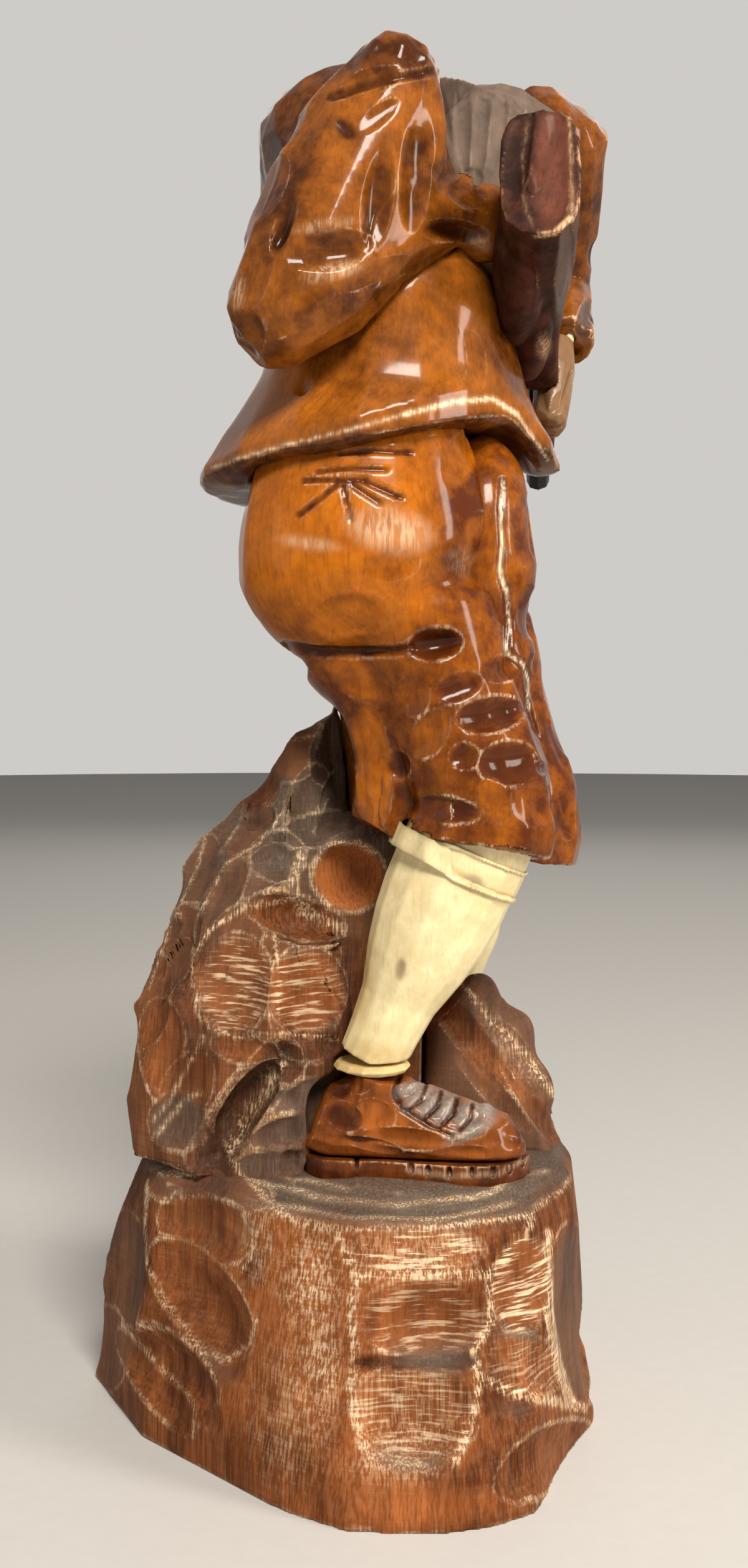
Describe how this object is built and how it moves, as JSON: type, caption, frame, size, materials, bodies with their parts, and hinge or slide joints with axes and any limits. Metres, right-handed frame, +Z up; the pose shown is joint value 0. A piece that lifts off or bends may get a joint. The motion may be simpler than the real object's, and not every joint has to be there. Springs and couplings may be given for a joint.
{
  "type": "carved hunter figure",
  "caption": "Carved and stained wooden hunter leaning on a rock with a rifle held across the chest, glued up from dowelled blocks, standing on a gouged plinth.",
  "frame": {"origin": "on the flat underside of the rock plinth, below the figure's standing foot", "axes": "+Z up, +X the way the hunter faces, -Y toward the hunter's right side, which the picture shows"},
  "size_m": [0.1385, 0.1328, 0.3464],
  "materials": {
    "birch_dowel": "bare",
    "black_stain": "satin black stain",
    "stock_stain": "dark red-brown stain, varnished",
    "skin_tint": "pale tint, satin",
    "boot_stain": "brown stain, varnished",
    "cream_paint": "aged cream paint, rubbed",
    "breeches_stain": "amber stain, glossy varnish",
    "hat_stain": "grey-green stain, rubbed",
    "jacket_stain": "orange-brown stain, varnished",
    "rock_stain": "matt red-brown stain with pale rubbed ridges"
  },
  "bodies": {
    "root": {"dowel_spur": "birch_dowel", "dowel_step": "birch_dowel", "dowel_ankle_right": "birch_dowel", "dowel_ankle_left": "birch_dowel", "dowel_knee_right": "birch_dowel", "dowel_knee_left": "birch_dowel", "dowel_hip_right": "birch_dowel", "dowel_hip_left": "birch_dowel", "dowel_shoulder_right": "birch_dowel", "dowel_shoulder_left": "birch_dowel", "dowel_neck": "birch_dowel", "dowel_hat": "birch_dowel", "dowel_wrist_right": "birch_dowel", "dowel_wrist_left": "birch_dowel", "rifle_barrel": "black_stain", "rifle_breech": "black_stain", "rifle_forend": "stock_stain", "rifle_stock": "stock_stain", "hand_right": "skin_tint", "hand_left": "skin_tint", "head": "skin_tint", "boot_sole_right": "boot_stain", "boot_right": "boot_stain", "boot_sole_left": "boot_stain", "boot_left": "boot_stain", "sock_roll_right": "cream_paint", "sock_roll_left": "cream_paint", "stocking_right": "cream_paint", "stocking_cuff_right": "cream_paint", "stocking_left": "cream_paint", "stocking_cuff_left": "cream_paint", "breeches_right": "breeches_stain", "breeches_left": "breeches_stain", "hat_crown": "hat_stain", "hat_brim": "hat_stain", "sleeve_right": "jacket_stain", "sleeve_left": "jacket_stain", "collar": "jacket_stain", "jacket_back": "jacket_stain", "jacket_body": "jacket_stain", "rock_spur": "rock_stain", "rock_step": "rock_stain", "rock_plinth": "rock_stain"}
  },
  "joints": []
}
